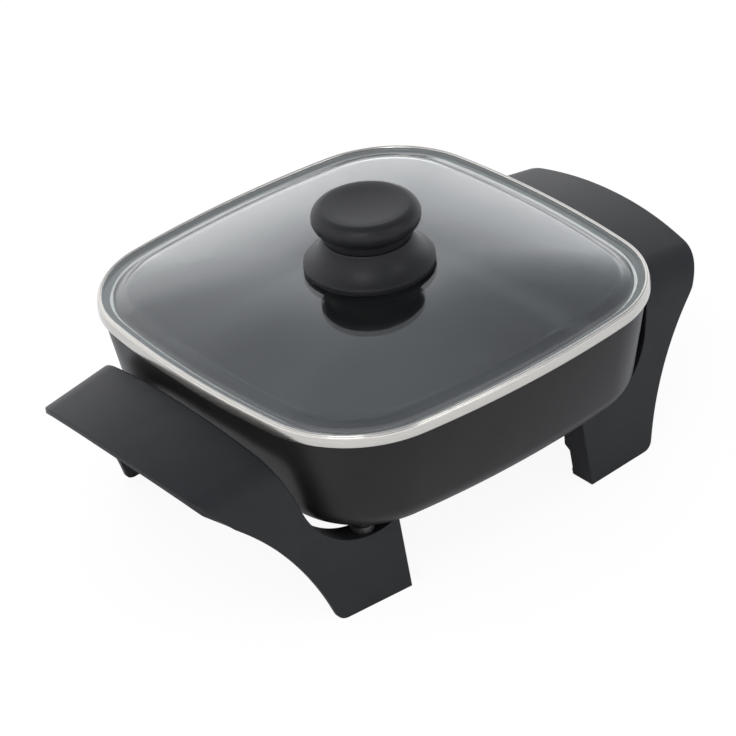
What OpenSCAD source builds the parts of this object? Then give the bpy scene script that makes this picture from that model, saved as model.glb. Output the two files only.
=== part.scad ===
// Electric skillet: a square aluminium pan on two bridge-shaped mouldings, each a handle
// with its two legs, and a domed glass lid that lifts off. Millimetres, standing on z = 0.
// +X points to the handle over the control socket, -Y to the front. The lid, the pan and
// the mouldings are symmetrical about x = 0 and y = 0.

/* [Plan] */
// Width over the lid's steel band, between the middles of opposite sides
lid_width = 216; // [208:1:228]
// Radius of the band's four corners
corner_radius = 53; // [47:1:59]
// Radius of the band's four slightly bowed sides
side_radius = 490; // [400:10:700]

/* [Pan] */
// Height of the pan's underside above the table
underside_height = 40; // [38.5:0.5:46]
// Height of the pan from its underside to the top of its rim
pan_height = 53.8; // [50:0.2:60]
// Thickness of the pan's wall
wall_thickness = 3; // [2.5:0.1:4]
// Thickness of the pan's floor
floor_thickness = 5; // [4.5:0.5:7]
// Distance of the pan's rim inside the band's outer face
rim_inset = 1.9; // [1.2:0.1:2.5]
// Distance by which the rim overhangs the inside of the wall
rim_bead = 0.9; // [0.5:0.1:2]
// Height of the thickened rim
rim_height = 2.6; // [2:0.1:5]
// Lean of the pan's wall from the vertical, in degrees
wall_lean = 10.2; // [8:0.2:12]
// Outside radius between the pan's wall and its floor
floor_radius = 15.8; // [13:0.2:18]

/* [Lid] */
// Height of the steel band
band_height = 5.9; // [5.5:0.1:8]
// Thickness of the band's sheet
band_sheet = 0.5; // [0.4:0.1:0.7]
// Width of the band's top lip, which holds the glass down
lip_width = 1.6; // [1.4:0.1:2.6]
// Outside radius of the band's top edge
lip_radius = 1; // [0.8:0.1:1.1]
// Width of the band's lower flange, which rests on the pan's rim
flange_width = 7.6; // [7.2:0.2:10]
// Width of the silicone strip between the lower flange and the glass
gasket_width = 6; // [4:0.2:7]
// Thickness of the silicone around the edge of the glass
gasket_edge = 0.4; // [0.3:0.1:0.6]
// Thickness of the glass
glass_thickness = 3.6; // [3:0.1:4]
// Rise of the dome above the flat edge of the glass
dome_height = 10.9; // [8:0.1:14]
// Rise of the steep shoulder inside the flat border of the glass
shoulder_rise = 2.2; // [1:0.1:3.5]
// Width of that shoulder
shoulder_width = 4.2; // [3:0.1:8]
// Running gap between the lid and the pan's rim
lid_gap = 0.2; // [0.1:0.1:0.4]

/* [Knob] */
// Diameter of the round grip at its widest
grip_diameter = 50.2; // [48:0.2:56]
// Radius of the grip's rounded edge
grip_edge = 5.5; // [4.5:0.1:6.5]
// Depth of the shallow dish in the grip's top
grip_dish = 0.8; // [0.4:0.1:1.2]
// Diameter of the neck under the grip
neck_diameter = 40; // [36:0.2:42]
// Height of the neck between the base and the grip
neck_height = 4.4; // [3:0.2:7]
// Diameter of the knob's base
base_diameter = 60.4; // [56:0.2:66]
// Thickness of the base's rim
base_rim = 2.9; // [2:0.1:4]
// Height of the base
base_height = 14.8; // [13:0.2:18]
// Half the angle through which the base's hollow flare turns, in degrees
flare_bend = 25; // [10:1:30]
// Diameter of the knob's screw
knob_screw_diameter = 5; // [4:0.5:6]

/* [Handles] */
// Distance from the band's face out to the outer edge of a handle
handle_reach = 43.3; // [40:0.1:50]
// Height of the handle's outer edge at its middle
handle_height = 81.8; // [80:0.2:88]
// Slope of the handle, which falls towards its outer edge, in degrees
handle_slope = 8; // [4:0.2:9]
// Angle in plan by which the legs spread towards the pan, in degrees
leg_spread = 2.2; // [0:0.2:4]
// Thickness of the moulding
sheet_thickness = 2.6; // [2.2:0.1:3.2]
// Radius of the arched top, seen from the end
arch_radius = 239; // [180:1:260]
// Distance from the band's face in to the ends of the arched top
arch_inset = 58.5; // [54:0.5:61]
// Radius of the bend from the top into a leg
bend_radius = 23; // [20:0.2:26]
// Lean of the legs from the vertical, in degrees
leg_lean = 8.9; // [6:0.1:10]
// Distance from the band's face in to the inner edge of a foot
foot_inner = 53.5; // [50:0.5:56]
// Distance from the band's face in to the outer edge of a foot
foot_outer = 13.8; // [9:0.2:17]
// Lean of the leg's outer edge at the foot, in degrees
foot_splay = 15.9; // [12:0.1:18]
// Radius of the leg's hollow outer edge
leg_curve_radius = 129.4; // [120:0.2:145]
// Radius of the foot's outer corner
foot_corner = 5; // [3:0.5:7]
// Height of the ledge under the pan's corner
ledge_height = 32.7; // [30:0.1:34]
// Radius of the ledge's hollow edge
ledge_radius = 34.7; // [32:0.1:38]
// Distance from the band's face in to the lowest point of the ledge
ledge_x = 39.3; // [37:0.1:41]
// Lean of the handle's inner edge above the ledge, in degrees
inner_edge_lean = 17.2; // [14:0.2:19]
// Radius of the handle's bowed outer edge, seen from above
outer_edge_radius = 365; // [300:5:450]
// Distance from the band's face in to the ends of the bowed outer edge
outer_edge_inset = 58; // [56:0.5:60]
// Radius of the handle's outer corners, seen from above
handle_corner = 23; // [19:0.5:26]
// Depth of the walls behind the moulding's inner edge
rib_depth = 13; // [9:0.2:14]
// Thickness of those walls
rib_thickness = 3; // [2.5:0.1:4]
// Depth of the leg's side wall above the foot
side_wall_depth = 17.6; // [14:0.2:20]

/* [Handle screws] */
// Distance of the screws inside the band's face along X
screw_x = 38.5; // [36:0.5:40]
// Distance of the screws inside the band's face along Y
screw_y = 39; // [38:0.2:40]
// Diameter of the screws
screw_diameter = 4; // [3:0.5:4.5]
// Diameter of the spacers, and of the pan's bosses above them
spacer_diameter = 11; // [10:0.2:12]
// Height of the steel spacers between the ledge and the bosses
spacer_height = 3.2; // [2:0.2:4.5]

/* [Heating element] */
// Distance from the pan's underside down to the centre of the element
element_drop = 5; // [4.5:0.1:6]
// Diameter of the element's sheath
element_diameter = 8; // [6.5:0.1:9]
// Half the width of the element's square loop
loop_half_width = 56; // [50:0.5:58]
// Radius of the loop's corners
loop_corner = 30; // [20:0.5:32]
// Radius of the bends from the loop into the leads
lead_bend = 10; // [9:0.5:11]
// Thickness of the cast ridge around the element
ridge_wall = 3; // [2:0.1:3.6]

/* [Control socket] */
// Distance between the two terminal pins
pin_spacing = 28; // [27:0.5:32]
// Diameter of the terminal pins
pin_diameter = 6; // [4:0.2:6.4]
// Length of the pins outside their insulators
pin_length = 14; // [10:0.5:18]
// Bore of the sleeve for the control's probe
probe_bore = 8.2; // [7:0.1:8.6]
// Wall of the probe sleeve
probe_wall = 1.4; // [1:0.1:1.6]
// Length of the probe sleeve
probe_length = 84; // [70:1:90]
// Thickness of the guard's walls
guard_wall = 2.5; // [2:0.1:3]
// Outside width of the guard
guard_width = 64; // [62:1:72]
// Outside height of the guard
guard_height = 25; // [23:0.5:25.4]
// Outside depth of the guard
guard_depth = 20; // [17:0.5:24]
// Thickness of the guard's steel bracket
bracket_sheet = 1.5; // [1.2:0.1:2]

/* [Hidden] */

$fa = 3;
$fs = 0.6;

// Colours
black_plastic = [0.17, 0.17, 0.18];
black_enamel = [0.15, 0.14, 0.14];
steel = [0.76, 0.75, 0.72];
glass_grey = [0.45, 0.48, 0.50, 0.5];
silicone = [0.25, 0.29, 0.27];
brass = [0.78, 0.64, 0.34];
ceramic = [0.92, 0.90, 0.84];

// Fits and small features
section_end = 120;       // inset, past the middle, to which the section of a full plate runs
overlap = 1;             // how far pieces of one solid run into each other
far = 200;               // further out than any point of the part
spare = 15;              // how far a cutting outline runs past the solid that it cuts
screw_clearance = 0.2;   // radial play of a screw in a clearance hole
thread_play = 0.05;      // radial play of a screw in its threaded hole
hole_play = 0.2;         // radial play of insulators and sleeve in the bracket and guard
washer_sheet = 0.8;      // thickness of the handle screws' washers

// The control socket's small features
bracket_setback = 10.7;  // bracket's upright inside the band's face
lead_setback = 7;        // end of the element's leads behind the upright
bare_lead = 5;           // length of lead that stands out of the ridge
insulator_step = 0.8;    // insulator's outer radius beyond the lead's
insulator_proud = 1;     // insulator's end in front of the guard's back wall
pin_shoulder = 0.6;      // pin's radius beyond that of its shank in the insulator
pin_neck = 0.5;          // length of shank between the insulator and the pin's shoulder
sleeve_proud = 3;        // probe sleeve's mouth in front of the guard's back wall
sleeve_cover = 4;        // cast metal behind the sleeve's closed end
strap_gap = 0.3;         // strap below the probe's boss
strap_length = 26;       // strap behind the upright
strap_screw_inset = 6.5; // strap's screws from its back edge
strap_boss_radius = 4.5; // pan's bosses over the strap's screws
guard_screw_inset = 3.6; // guard's screws from its side walls
guard_screw_diameter = 3;
guard_head_height = 2;
nut_height = 2.4;
nut_spare = 0.8;         // length of screw that shows past its nut
upright_height = 19.5;   // bracket's upright

// The plan outline: the centre of a side's arc lies on its axis, and a corner's arc touches
// the arcs of its two sides from the inside.
half_width = lid_width / 2;
side_centre = half_width - side_radius;
corner_reach = side_radius - corner_radius;
corner_centre = (side_centre + sqrt(2 * corner_reach ^ 2 - side_centre ^ 2)) / 2;
side_angle = atan2(corner_centre, corner_centre - side_centre);

// Heights of the pan and the lid
rim_z = underside_height + pan_height;
band_z = rim_z + lid_gap;
band_top = band_z + band_height;
glass_edge_z = band_top - band_sheet;
glass_top = glass_edge_z + dome_height;
glass_bottom = glass_edge_z - glass_thickness;

// The pan's profile
inner_floor_z = underside_height + floor_thickness;
rim_foot_z = rim_z - rim_height;
wall_width = wall_thickness / cos(wall_lean);

// The glass's profile: a flat border, a steep shoulder and an arc that ends level under the knob
glass_inset = max(band_sheet + gasket_edge, lip_radius);
border_inset = flange_width + 1;
shoulder_inset = border_inset + shoulder_width;
level_inset = half_width - base_diameter / 2 - 1;
arc_rise = dome_height - shoulder_rise;
arc_radius = ((level_inset - shoulder_inset) ^ 2 + arc_rise ^ 2) / (2 * arc_rise);
arc_centre = [level_inset, glass_top - arc_radius];

// Distances of the handles and their screws from the pan's axis
reach = half_width + handle_reach;
foot_start = half_width - foot_inner;
foot_end = half_width - foot_outer;
ledge_middle = half_width - ledge_x;
arch_half_length = half_width - arch_inset;
outer_edge_half_length = half_width - outer_edge_inset;
screw_place = [half_width - screw_x, half_width - screw_y];

// The handle's arch: its bends touch the long arc from the inside
arch_angle = asin(arch_half_length / arch_radius);
bend_y = (arch_radius - bend_radius) * sin(arch_angle);
bend_z = (arch_radius - bend_radius) * cos(arch_angle) - arch_radius;
arch_length = reach - foot_start + 2 * spare;

// Handle screws and the bosses of the pan
boss_z = ledge_height + spacer_height;
pad_height = 6;
pad_z = ledge_height - pad_height;
pad_diameter = spacer_diameter + 2;
screw_head_diameter = 2 * screw_diameter;
screw_head_height = 0.65 * screw_diameter;
washer_diameter = spacer_diameter - 1;
thread_depth = 6;

// The element: a square loop that opens towards +X, where its ends turn into two leads
element_z = underside_height - element_drop;
lead_y = pin_spacing / 2;
loop_straight = loop_half_width - loop_corner;
bend_centre_x = loop_half_width + lead_bend;
bend_centre_y = lead_y + lead_bend;
ridge_radius = element_diameter / 2 + ridge_wall;

// The socket: the bracket's upright stands just outside the pan's lower edge
bracket_x = half_width - bracket_setback;
guard_x = bracket_x + bracket_sheet;
lead_end = bracket_x - lead_setback;
ridge_end = lead_end - bare_lead;
insulator_end = guard_x + guard_wall + insulator_proud;
insulator_radius = element_diameter / 2 + insulator_step;
shank_diameter = pin_diameter - 2 * pin_shoulder;
shoulder_x = insulator_end + pin_neck;
pin_end = insulator_end + pin_length;
probe_radius = probe_bore / 2 + probe_wall;
probe_end = guard_x + guard_wall + sleeve_proud;
probe_boss_radius = probe_radius + ridge_wall;
strap_z = element_z - probe_boss_radius - bracket_sheet - strap_gap;
strap_back = bracket_x - strap_length;
strap_screw_x = strap_back + strap_screw_inset;
strap_screw_y = guard_width / 2 - strap_boss_radius;
guard_screw_y = guard_width / 2 - guard_wall - guard_screw_inset;

// ---------------------------------------------------------------- plan outline

// Points on an arc, no further apart than step degrees
function arc(centre, radius, from, to, step = 5) =
    let (count = ceil(abs(to - from) / step))
    [for (i = [0:count]) let (angle = from + (to - from) * i / count)
        centre + radius * [cos(angle), sin(angle)]];

function reversed(points) = [for (i = [len(points) - 1:-1:0]) points[i]];

// Sweeps a section, drawn as (distance inside the band's face, height), around the pan. A
// section that runs on to section_end fills the middle.
module around_pan() {
    for (quarter = [0:3]) rotate([0, 0, 90 * quarter]) {
        octant() children();
        mirror([0, 1, 0]) octant() children();
    }
}

// An eighth of the way round, from the middle of a side to the middle of a corner. The side
// and the corner share a face, because one frame holds both.
module octant() {
    spare_turn = 1;
    size = lid_width;
    intersection() {
        translate([side_centre, 0, 0]) rotate([0, 0, side_angle]) {
            rotate_extrude(start = -side_angle - spare_turn, angle = side_angle + spare_turn,
                           $fn = 250)
                section_at(side_radius) children();
            translate([side_radius - corner_radius, 0, 0])
                rotate_extrude(start = 0, angle = 45 - side_angle + spare_turn)
                    section_at(corner_radius) children();
        }
        linear_extrude(size) polygon([[0, 0], [size, 0], [size, size]]);
    }
}

// Turns a section round, to put the band's face at the given radius.
module section_at(radius) {
    intersection() {
        translate([radius, 0]) mirror([1, 0]) children();
        square([radius + 1, lid_width]);
    }
}

// ---------------------------------------------------------------- pan

// The line down a leaning wall, round a rounded foot and along the floor
function dish_line(top_inset, top_z, bottom_z, radius) =
    let (centre_z = bottom_z + radius,
         centre_inset = top_inset + (top_z - centre_z) * tan(wall_lean)
             + radius / cos(wall_lean))
    concat([[top_inset, top_z]],
           arc([centre_inset, centre_z], radius, 180 + wall_lean, 270),
           [[section_end, bottom_z]]);

module pan_shell() {
    inner_inset = rim_inset + wall_width + rim_height * tan(wall_lean);
    outside = dish_line(rim_inset, rim_z, underside_height, floor_radius);
    inside = dish_line(inner_inset, rim_foot_z, inner_floor_z, floor_radius - wall_thickness);
    around_pan() polygon(concat(outside, reversed(inside),
        [[inner_inset + rim_bead, rim_foot_z], [inner_inset + rim_bead, rim_z]]));
}

// A section that hangs from the underside: round below, with straight sides above
module ridge_section(radius) {
    polygon(concat(arc([0, 0], radius, 180, 360, 10),
        [[radius, element_drop + overlap], [-radius, element_drop + overlap]]));
}

module along_x(from, to, y) {
    translate([from, y, 0]) rotate([90, 0, 90]) linear_extrude(to - from) children();
}

module along_y(from, to, x) {
    translate([x, to, 0]) rotate([90, 0, 0]) linear_extrude(to - from) children();
}

module quarter_bend(centre, start, radius) {
    translate([centre.x, centre.y, 0])
        rotate_extrude(start = start, angle = 90) translate([radius, 0]) children();
}

// Sweeps a section along the element, with leads that end at end_x.
module element_path(end_x) {
    for (half = [0, 1]) mirror([0, half, 0]) {
        along_y(0, loop_straight, -loop_half_width) children();
        quarter_bend([-loop_straight, loop_straight], 90, loop_corner) children();
        along_x(-loop_straight, loop_straight, loop_half_width) children();
        quarter_bend([loop_straight, loop_straight], 0, loop_corner) children();
        along_y(bend_centre_y, loop_straight, loop_half_width) children();
        quarter_bend([bend_centre_x, bend_centre_y], 180, lead_bend) children();
        along_x(bend_centre_x, end_x, lead_y) children();
    }
}

module element_solid() {
    translate([0, 0, element_z]) element_path(lead_end) circle(element_diameter / 2);
}

module probe_boss() {
    translate([0, 0, element_z]) along_x(probe_end - probe_length - sleeve_cover, ridge_end, 0)
        ridge_section(probe_boss_radius);
}

module bosses(radius, bottom_z) {
    translate([0, 0, bottom_z]) cylinder(r = radius, h = underside_height - bottom_z + overlap);
}

module pan_body() {
    strap_top_z = strap_z + bracket_sheet;
    color(black_enamel) difference() {
        union() {
            pan_shell();
            translate([0, 0, element_z]) element_path(ridge_end) ridge_section(ridge_radius);
            probe_boss();
            at_handle_screws() bosses(spacer_diameter / 2, boss_z);
            at_strap_screws() bosses(strap_boss_radius, strap_top_z);
        }
        element_solid();
        translate([probe_end - probe_length, 0, element_z]) rotate([0, 90, 0])
            cylinder(r = probe_radius, h = probe_length);
        at_handle_screws() thread_hole(boss_z);
        at_strap_screws() thread_hole(strap_top_z);
    }
}

module thread_hole(z) {
    translate([0, 0, z - overlap])
        cylinder(d = screw_diameter + 2 * thread_play, h = thread_depth + overlap);
}

// ---------------------------------------------------------------- heating and socket

module heating_element() {
    color(steel) element_solid();
}

module at_pins() {
    for (side = [-1, 1]) translate([0, side * lead_y, element_z]) rotate([0, 90, 0]) children();
}

// The pins stand on thinner shanks, which the insulators hold.
module terminal_pins() {
    tip = pin_diameter / 6;
    color(steel) at_pins() {
        translate([0, 0, lead_end])
            cylinder(d = shank_diameter, h = shoulder_x + overlap - lead_end);
        translate([0, 0, shoulder_x]) cylinder(d = pin_diameter, h = pin_end - tip - shoulder_x);
        translate([0, 0, pin_end - tip])
            cylinder(d1 = pin_diameter, d2 = pin_diameter - 2 * tip, h = tip);
    }
}

module terminal_insulators() {
    color(ceramic) at_pins() translate([0, 0, lead_end]) difference() {
        cylinder(r = insulator_radius, h = insulator_end - lead_end);
        translate([0, 0, -overlap])
            cylinder(d = shank_diameter, h = insulator_end - lead_end + 2 * overlap);
    }
}

module probe_sleeve() {
    closed_end = 2;
    color(brass) translate([probe_end - probe_length, 0, element_z]) rotate([0, 90, 0])
        difference() {
            cylinder(r = probe_radius, h = probe_length);
            translate([0, 0, closed_end]) cylinder(d = probe_bore, h = probe_length);
        }
}

// Holes for the insulators, the sleeve and the guard's screws, through an upright wall.
module socket_holes(x, length) {
    translate([x, 0, 0]) {
        at_pins() cylinder(r = insulator_radius + hole_play, h = length);
        translate([0, 0, element_z]) rotate([0, 90, 0])
            cylinder(r = probe_radius + hole_play, h = length);
        at_guard_screws() cylinder(d = guard_screw_diameter + 2 * screw_clearance, h = length);
    }
}

module at_guard_screws() {
    for (side = [-1, 1])
        translate([0, side * guard_screw_y, element_z]) rotate([0, 90, 0]) children();
}

module socket_guard() {
    inner = [guard_depth, guard_width - 2 * guard_wall, guard_height - 2 * guard_wall];
    color(black_plastic) difference() {
        translate([guard_x, -guard_width / 2, element_z - guard_height / 2])
            cube([guard_depth, guard_width, guard_height]);
        translate([guard_x + guard_wall, -inner.y / 2, element_z - inner.z / 2]) cube(inner);
        socket_holes(guard_x - overlap, guard_wall + 2 * overlap);
    }
}

module at_strap_screws() {
    for (side = [-1, 1]) translate([strap_screw_x, side * strap_screw_y, 0]) children();
}

module guard_bracket() {
    color(steel) difference() {
        union() {
            translate([strap_back, -guard_width / 2, strap_z])
                cube([bracket_x + bracket_sheet - strap_back, guard_width, bracket_sheet]);
            translate([bracket_x, -guard_width / 2, strap_z])
                cube([bracket_sheet, guard_width, upright_height]);
        }
        socket_holes(bracket_x - overlap, bracket_sheet + 2 * overlap);
        at_strap_screws() translate([0, 0, strap_z - overlap])
            cylinder(d = screw_diameter + 2 * screw_clearance, h = bracket_sheet + 2 * overlap);
    }
}

module guard_screws() {
    head_x = guard_x + guard_wall;
    shank_x = bracket_x - nut_height - nut_spare;
    color(steel) at_guard_screws() {
        translate([0, 0, head_x]) cylinder(d = 2 * guard_screw_diameter, h = guard_head_height);
        translate([0, 0, shank_x]) cylinder(d = guard_screw_diameter, h = head_x - shank_x + overlap);
    }
}

module guard_nuts() {
    color(steel) at_guard_screws() translate([0, 0, bracket_x - nut_height]) difference() {
        cylinder(r = guard_screw_diameter, h = nut_height, $fn = 6);
        translate([0, 0, -overlap])
            cylinder(d = guard_screw_diameter + 2 * thread_play, h = nut_height + 2 * overlap);
    }
}

module bracket_screws() {
    color(steel) at_strap_screws() {
        translate([0, 0, strap_z - screw_head_height])
            cylinder(d = screw_head_diameter, h = screw_head_height);
        translate([0, 0, strap_z - overlap])
            cylinder(d = screw_diameter, h = bracket_sheet + thread_depth);
    }
}

// ---------------------------------------------------------------- handles

// The line over the arch from foot to foot, moved inwards by inset, seen along X. The
// origin is the middle of the outer edge.
function arch_half(inset) =
    let (knee = arc([bend_y, bend_z], bend_radius - inset, leg_lean, 90 - arch_angle),
         foot = knee[0] + (handle_height + 3 * spare) * [sin(leg_lean), -cos(leg_lean)])
    concat([foot], knee);
function arch_line(inset) =
    let (half = arch_half(inset), other = [for (p = half) [-p.x, p.y]])
    concat(half, arc([0, -arch_radius], arch_radius - inset, 90 - arch_angle, 90 + arch_angle, 3),
           reversed(other));

// The layer of the arch between its surface and the given depth. Each half turns a little,
// so that the legs stand further apart nearer the pan.
module arch_layer(depth) {
    for (side = [0, 1]) mirror([0, side, 0]) intersection() {
        translate([reach, 0, handle_height]) rotate([0, handle_slope, -leg_spread])
            translate([-arch_length, 0, 0]) rotate([90, 0, 90])
                linear_extrude(arch_length + spare)
                    polygon(concat(arch_line(0), reversed(arch_line(depth))));
        translate([0, 0, -far]) cube([far, far, 2 * far]);
    }
}

// The moulding's inner edge seen from the front, moved outwards by inset: up the side of the
// foot, round the ledge and up under the handle
function inner_edge(inset) =
    let (side = foot_start + inset,
         radius = ledge_radius + inset,
         ledge = arc([ledge_middle, ledge_height + ledge_radius], radius,
                     -acos((side - ledge_middle) / radius), -inner_edge_lean),
         last = ledge[len(ledge) - 1],
         rise = handle_height + spare - last.y)
    concat([[side, 0]], ledge, [last + rise * [tan(inner_edge_lean), 1]]);

// The moulding's outer edge seen from the front, from the foot up
function outer_edge() =
    let (setback = foot_corner * tan(45 - foot_splay / 2),
         corner = [foot_end - setback, foot_corner],
         curve = [foot_end + leg_curve_radius * cos(foot_splay),
                  -leg_curve_radius * sin(foot_splay)],
         curve_start = 180 - foot_splay - setback / leg_curve_radius * 180 / PI)
    concat(arc(corner, foot_corner, -90, -foot_splay, 10),
           arc(curve, leg_curve_radius, curve_start, 100, 3),
           [[curve.x, handle_height + spare]]);

module front_outline() {
    polygon(concat(outer_edge(), reversed(inner_edge(0))));
}

module inner_edge_strip(width) {
    polygon(concat(inner_edge(0), reversed(inner_edge(width))));
}

// The moulding's outline seen from above: a bowed outer edge between two round corners, and
// a wider strip that leaves the legs free
module plan_outline() {
    turn = asin(outer_edge_half_length / outer_edge_radius);
    centre_x = reach - outer_edge_radius;
    corner = [centre_x + (outer_edge_radius - handle_corner) * cos(turn),
              (outer_edge_radius - handle_corner) * sin(turn)];
    side_turn = 74;
    last = corner + handle_corner * [cos(side_turn), sin(side_turn)];
    strip_x = foot_end + 17;
    half = concat(arc([centre_x, 0], outer_edge_radius, 0, turn, 1.5),
                  arc(corner, handle_corner, turn, side_turn),
                  [[strip_x, last.y + (last.x - strip_x) / tan(side_turn)],
                   [strip_x, far], [0, far]]);
    for (side = [0, 1]) mirror([0, side]) polygon(concat([[0, 0]], half));
}

module seen_from_front() {
    translate([0, far, 0]) rotate([90, 0, 0]) linear_extrude(2 * far) children();
}

module seen_from_above() {
    linear_extrude(far) children();
}

// The walls behind the moulding's inner edge, and the floor of each foot.
module edge_walls() {
    intersection() {
        arch_layer(rib_depth);
        seen_from_front() {
            inner_edge_strip(rib_thickness);
            square([foot_end - 10, rib_thickness]);
        }
    }
}

// The leg's inner side wall steps back above the foot.
module leg_side_walls() {
    inner_reach = reach - foot_start;
    foot_y = bend_y + bend_radius + (handle_height + bend_z) * tan(leg_lean)
        + inner_reach * (tan(handle_slope) * tan(leg_lean) + tan(leg_spread));
    shelf_y = foot_y - side_wall_depth;
    step_y = foot_y - rib_depth;
    step_z = 10.5;
    for (side = [0, 1]) mirror([0, side, 0])
        translate([foot_start, 0, 0]) rotate([90, 0, 90]) linear_extrude(rib_thickness)
            polygon([[step_y, 0], [step_y + 1.4, step_z], [shelf_y, step_z + 4],
                     [shelf_y, ledge_height], [foot_y - 4, ledge_height], [foot_y - 1, 0]]);
}

// The moulding leaves room for the spacers above its pads, and for the washers and the screws'
// heads below them.
module moulding() {
    head_room = washer_sheet + screw_head_height;
    difference() {
        union() {
            intersection() {
                union() {
                    arch_layer(sheet_thickness);
                    edge_walls();
                    leg_side_walls();
                }
                seen_from_above() plan_outline();
                seen_from_front() front_outline();
            }
            at_handle_screws([1]) translate([0, 0, pad_z])
                cylinder(d = pad_diameter, h = pad_height);
        }
        at_handle_screws([1]) translate([0, 0, pad_z - overlap]) {
            cylinder(d = screw_diameter + 2 * screw_clearance, h = pad_height + 2 * overlap);
            translate([0, 0, pad_height + overlap])
                cylinder(d = pad_diameter - 0.6, h = spacer_height);
        }
        at_handle_screws([1]) translate([0, 0, pad_z - head_room])
            cylinder(d = washer_diameter + 2 * screw_clearance, h = head_room);
    }
}

module left_handle() {
    color(black_plastic) mirror([1, 0, 0]) moulding();
}

module right_handle() {
    color(black_plastic) moulding();
}

// ---------------------------------------------------------------- handle fasteners

module at_handle_screws(ends = [-1, 1]) {
    for (end = ends, side = [-1, 1])
        translate([end * screw_place.x, side * screw_place.y, 0]) children();
}

module handle_spacers() {
    color(steel) at_handle_screws() translate([0, 0, ledge_height]) difference() {
        cylinder(d = spacer_diameter, h = spacer_height);
        translate([0, 0, -overlap])
            cylinder(d = screw_diameter + 2 * screw_clearance, h = spacer_height + 2 * overlap);
    }
}

module handle_screws(end) {
    head_z = pad_z - washer_sheet;
    color(steel) at_handle_screws([end]) {
        translate([0, 0, head_z - screw_head_height])
            cylinder(d = screw_head_diameter, h = screw_head_height);
        translate([0, 0, head_z - overlap])
            cylinder(d = screw_diameter, h = boss_z + thread_depth - head_z);
    }
}

module handle_washers(end) {
    color(steel) at_handle_screws([end]) translate([0, 0, pad_z - washer_sheet]) difference() {
        cylinder(d = washer_diameter, h = washer_sheet);
        translate([0, 0, -overlap])
            cylinder(d = screw_diameter + 2 * screw_clearance, h = washer_sheet + 2 * overlap);
    }
}

module left_handle_screws() { handle_screws(-1); }
module right_handle_screws() { handle_screws(1); }
module left_handle_washers() { handle_washers(-1); }
module right_handle_washers() { handle_washers(1); }

// ---------------------------------------------------------------- lid

module lid_band() {
    roll = [lip_radius, band_top - lip_radius];
    outside = concat([[0, band_z]], arc(roll, lip_radius, 180, 90, 15), [[lip_width, band_top]]);
    inside = concat([[lip_width, band_top - band_sheet]],
                    arc(roll, lip_radius - band_sheet, 90, 180, 15),
                    [[band_sheet, band_z + band_sheet]]);
    flange = [[flange_width, band_z + band_sheet], [flange_width, band_z]];
    color(steel) around_pan() polygon(concat(outside, inside, flange));
}

module lid_gasket() {
    base_z = band_z + band_sheet;
    edge_z = band_top - lip_radius;
    color(silicone) around_pan()
        polygon([[band_sheet, base_z], [gasket_width, base_z], [gasket_width, glass_bottom],
                 [glass_inset, glass_bottom], [glass_inset, edge_z], [band_sheet, edge_z]]);
}

// The line along the glass's surface, moved down by depth
function dome_line(depth) =
    let (foot = 90 + asin((level_inset - shoulder_inset) / arc_radius),
         edge_z = glass_edge_z - depth)
    concat([[glass_inset, edge_z], [border_inset, edge_z]],
           arc(arc_centre - [0, depth], arc_radius, foot, 90, 3),
           [[section_end, glass_top - depth]]);

module lid_glass() {
    color(glass_grey) difference() {
        around_pan() polygon(concat(dome_line(0), reversed(dome_line(glass_thickness))));
        translate([0, 0, glass_bottom])
            cylinder(d = knob_screw_diameter + 2, h = dome_height + 2 * glass_thickness);
    }
}

// ---------------------------------------------------------------- knob

grip_z = glass_top + base_height;
grip_centre_z = grip_z + neck_height + grip_edge;
grip_top = grip_centre_z + grip_edge;
insert_diameter = knob_screw_diameter + 4;
insert_height = 9;
insert_z = grip_z + 1;
seal_sheet = 1.5;
seal_diameter = 20;
knob_washer_sheet = 1.2;
screw_top = insert_z + insert_height - 1;

module knob_grip() {
    flat_radius = grip_diameter / 2 - grip_edge;
    dish_radius = (flat_radius ^ 2 + grip_dish ^ 2) / (2 * grip_dish);
    color(black_plastic) difference() {
        rotate_extrude() {
            translate([flat_radius, grip_centre_z]) circle(grip_edge);
            translate([0, grip_z]) square([neck_diameter / 2, neck_height + overlap]);
            translate([0, grip_centre_z - grip_edge]) square([flat_radius, 2 * grip_edge]);
        }
        translate([0, 0, grip_top - grip_dish + dish_radius]) sphere(dish_radius, $fa = 1);
        translate([0, 0, grip_z - overlap])
            cylinder(d = insert_diameter, h = insert_z + insert_height - grip_z + overlap);
    }
}

// The base: a hollow flare, steep at the neck, runs out to a low upright rim.
module knob_base() {
    ledge = 0.6;
    top = [neck_diameter / 2 + ledge, grip_z];
    edge = [base_diameter / 2, glass_top + base_rim];
    chord = edge - top;
    fall = atan2(-chord.y, chord.x);
    radius = norm(chord) / (2 * sin(flare_bend));
    centre = (top + edge) / 2 + radius * cos(flare_bend) * [sin(fall), cos(fall)];
    color(black_plastic) difference() {
        rotate_extrude()
            polygon(concat([[0, glass_top], [edge.x, glass_top]],
                arc(centre, radius, 270 - fall + flare_bend, 270 - fall - flare_bend),
                [[0, grip_z]]));
        translate([0, 0, glass_top - overlap]) {
            cylinder(d = knob_screw_diameter + 1, h = base_height + 2 * overlap);
            cylinder(d = seal_diameter, h = seal_sheet + overlap);
        }
    }
}

module ring(outer, inner, height) {
    difference() {
        cylinder(d = outer, h = height);
        translate([0, 0, -overlap]) cylinder(d = inner, h = height + 2 * overlap);
    }
}

module knob_insert() {
    color(brass) translate([0, 0, insert_z])
        ring(insert_diameter, knob_screw_diameter + 2 * thread_play, insert_height);
}

module knob_seal() {
    color(silicone) translate([0, 0, glass_top])
        ring(seal_diameter, knob_screw_diameter + 1, seal_sheet);
}

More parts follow.
